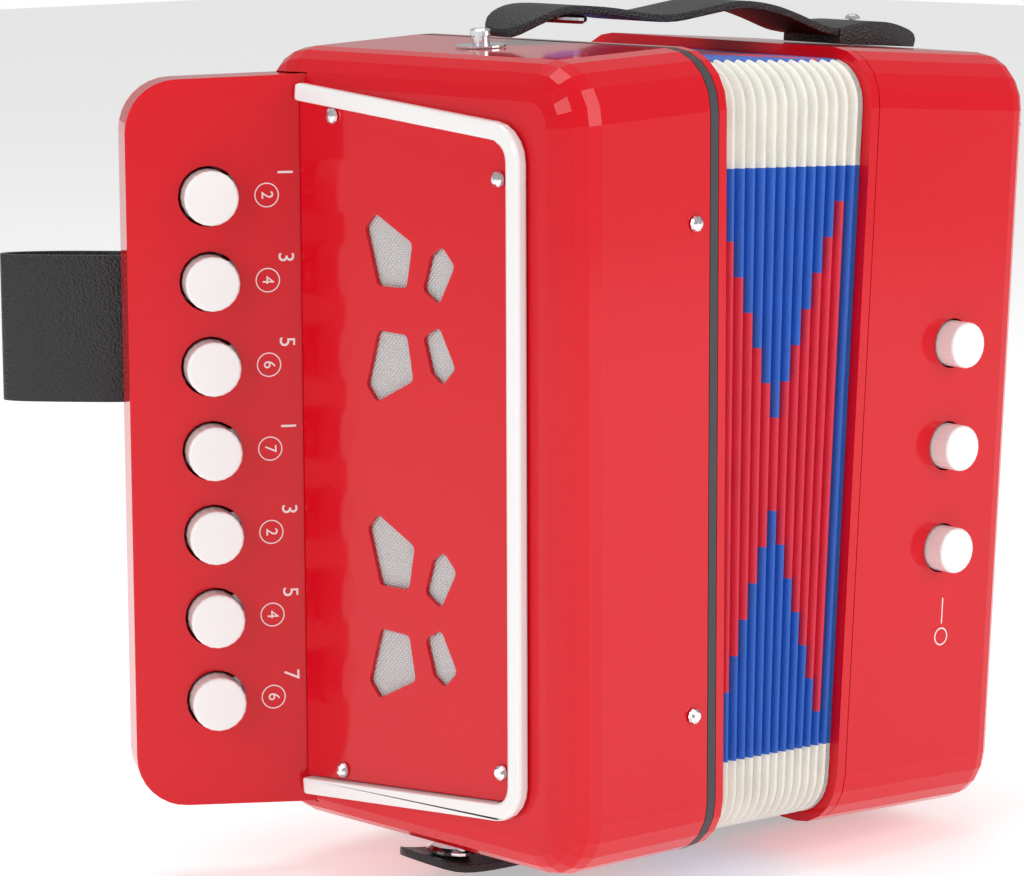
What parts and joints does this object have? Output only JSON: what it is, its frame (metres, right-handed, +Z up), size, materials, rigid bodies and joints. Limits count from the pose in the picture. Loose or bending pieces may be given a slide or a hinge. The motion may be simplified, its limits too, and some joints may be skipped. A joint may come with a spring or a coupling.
{
  "type": "button accordion",
  "caption": "Small diatonic button accordion with red casings, a folded bellows, treble and bass buttons, closing straps and a thumb strap.",
  "frame": {"origin": "middle of the footprint at the lowest point", "axes": "+X along the bellows from treble to bass, +Y to the back, +Z up"},
  "size_m": [0.2558, 0.185, 0.2435],
  "materials": {
    "gloss_red": "gloss",
    "white": "gloss",
    "lever": "satin",
    "steel": "polished",
    "mesh": "woven",
    "wood": "matte",
    "gasket": "matte",
    "bellows": "satin",
    "leather": "grained",
    "rubber": "matte"
  },
  "bodies": {
    "treble": {"treble_casing": "gloss_red", "keyboard_housing": "gloss_red", "keyboard_cover": "gloss_red", "grille_plate": "gloss_red", "treble_frame": "gloss_red", "white_trim": "white", "treble_axle": "steel", "top_strap_stud": "steel", "bottom_strap_stud": "steel", "thumb_strap_screw_1": "steel", "thumb_strap_screw_2": "steel", "casing_screw_1": "steel", "casing_screw_2": "steel", "grille_screw_1": "steel", "grille_screw_2": "steel", "grille_screw_3": "steel", "grille_screw_4": "steel", "grille_mesh": "mesh", "treble_reed_board": "wood", "treble_reed_block": "wood", "treble_gasket": "gasket", "bellows": "bellows", "thumb_strap": "leather"},
    "bass": {"bass_frame": "gloss_red", "bass_casing": "gloss_red", "bass_valve_board": "wood", "bass_reed_block": "wood", "hand_strap": "leather", "hand_strap_screw_1": "steel", "hand_strap_screw_2": "steel", "top_strap_tail": "leather", "bottom_strap_tail": "leather", "top_strap_screw": "steel", "bottom_strap_screw": "steel", "bass_foot_1": "rubber", "bass_foot_2": "rubber", "bass_foot_3": "rubber", "bass_foot_4": "rubber"},
    "key_1": {"treble_button_1": "white", "treble_lever_1": "lever"},
    "key_2": {"treble_button_2": "white", "treble_lever_2": "lever"},
    "key_3": {"treble_button_3": "white", "treble_lever_3": "lever"},
    "key_4": {"treble_button_4": "white", "treble_lever_4": "lever"},
    "key_5": {"treble_button_5": "white", "treble_lever_5": "lever"},
    "key_6": {"treble_button_6": "white", "treble_lever_6": "lever"},
    "key_7": {"treble_button_7": "white", "treble_lever_7": "lever"},
    "bass_key_1": {"bass_button_1": "white"},
    "bass_key_2": {"bass_button_2": "white"},
    "air_key": {"air_button": "white"},
    "top_flap": {"top_strap_flap": "leather", "top_snap_socket": "steel"},
    "bottom_flap": {"bottom_strap_flap": "leather", "bottom_snap_socket": "steel"}
  },
  "joints": [
    {"name": "bellows_slide", "type": "slide", "parent": "treble", "child": "bass", "axis": [1, 0, 0], "range_m": [0, 0.12], "deforming": ["bellows"]},
    {"name": "treble_key_1", "type": "hinge", "parent": "treble", "child": "key_1", "pos_m": [-0.07038, 0.02764, 0.19222], "axis": [0, 0, -1], "range_deg": [0, 6.2], "stiffness_Nm_per_rad": 0.12, "springref_deg": -4.58},
    {"name": "treble_key_2", "type": "hinge", "parent": "treble", "child": "key_2", "pos_m": [-0.07038, 0.02764, 0.16872], "axis": [0, 0, -1], "range_deg": [0, 6.2], "stiffness_Nm_per_rad": 0.12, "springref_deg": -4.58},
    {"name": "treble_key_3", "type": "hinge", "parent": "treble", "child": "key_3", "pos_m": [-0.07038, 0.02764, 0.14522], "axis": [0, 0, -1], "range_deg": [0, 6.2], "stiffness_Nm_per_rad": 0.12, "springref_deg": -4.58},
    {"name": "treble_key_4", "type": "hinge", "parent": "treble", "child": "key_4", "pos_m": [-0.07038, 0.02764, 0.12172], "axis": [0, 0, -1], "range_deg": [0, 6.2], "stiffness_Nm_per_rad": 0.12, "springref_deg": -4.58},
    {"name": "treble_key_5", "type": "hinge", "parent": "treble", "child": "key_5", "pos_m": [-0.07038, 0.02764, 0.09822], "axis": [0, 0, -1], "range_deg": [0, 6.2], "stiffness_Nm_per_rad": 0.12, "springref_deg": -4.58},
    {"name": "treble_key_6", "type": "hinge", "parent": "treble", "child": "key_6", "pos_m": [-0.07038, 0.02764, 0.07472], "axis": [0, 0, -1], "range_deg": [0, 6.2], "stiffness_Nm_per_rad": 0.12, "springref_deg": -4.58},
    {"name": "treble_key_7", "type": "hinge", "parent": "treble", "child": "key_7", "pos_m": [-0.07038, 0.02764, 0.05122], "axis": [0, 0, -1], "range_deg": [0, 6.2], "stiffness_Nm_per_rad": 0.12, "springref_deg": -4.58},
    {"name": "bass_button_1_press", "type": "slide", "parent": "bass", "child": "bass_key_1", "axis": [0.1097, 0.994, 0], "range_m": [0, 0.0035], "stiffness_N_per_m": 150, "springref_m": -0.003},
    {"name": "bass_button_2_press", "type": "slide", "parent": "bass", "child": "bass_key_2", "axis": [0.1097, 0.994, 0], "range_m": [0, 0.0035], "stiffness_N_per_m": 150, "springref_m": -0.003},
    {"name": "air_button_press", "type": "slide", "parent": "bass", "child": "air_key", "axis": [0.1097, 0.994, 0], "range_m": [0, 0.0035], "stiffness_N_per_m": 150, "springref_m": -0.003},
    {"name": "top_flap_hinge", "type": "hinge", "parent": "bass", "child": "top_flap", "pos_m": [0.07822, -0.02825, 0.23366], "axis": [0.1097, 0.994, 0], "range_deg": [0, 110]},
    {"name": "bottom_flap_hinge", "type": "hinge", "parent": "bass", "child": "bottom_flap", "pos_m": [0.06571, -0.02687, 0.00501], "axis": [-0.1097, -0.994, 0], "range_deg": [0, 110]}
  ]
}
